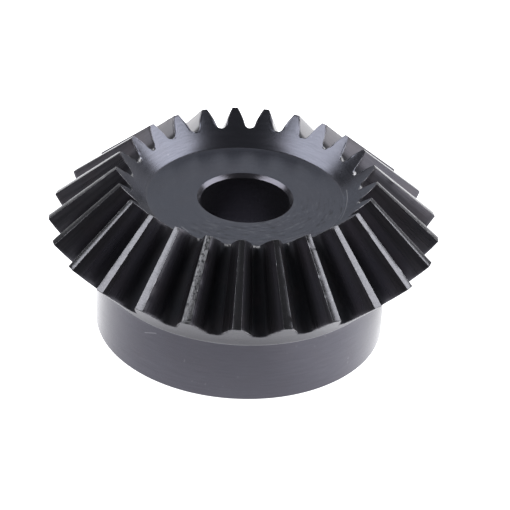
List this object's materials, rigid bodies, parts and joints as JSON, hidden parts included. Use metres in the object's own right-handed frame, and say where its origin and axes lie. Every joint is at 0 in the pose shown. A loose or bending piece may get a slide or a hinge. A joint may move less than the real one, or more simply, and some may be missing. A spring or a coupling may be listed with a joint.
{
  "type": "straight bevel gear",
  "caption": "Straight-toothed mitre bevel gear in blackened steel, with a dished front, a plain hub, a plain round bore and radial set screws.",
  "frame": {"origin": "centre of the hub's end face, on the gear's axis", "axes": "+Z along the gear's axis from the hub towards the teeth; -Y through the middle of one tooth; +Y midway between the set screws"},
  "size_m": [0.0526, 0.0525, 0.0235],
  "materials": {
    "blackened_steel": "satin",
    "screw_steel": "satin"
  },
  "bodies": {
    "gear": {"gear_body": "blackened_steel"},
    "screw_left": {"set_screw_left": "screw_steel"},
    "screw_right": {"set_screw_right": "screw_steel"}
  },
  "joints": [
    {"name": "screw_left_travel", "type": "slide", "parent": "gear", "child": "screw_left", "axis": [-0.7071, 0.7071, 0], "range_m": [-0.0008, 0.0104]},
    {"name": "screw_right_travel", "type": "slide", "parent": "gear", "child": "screw_right", "axis": [0.7071, 0.7071, 0], "range_m": [-0.0008, 0.0104]}
  ]
}
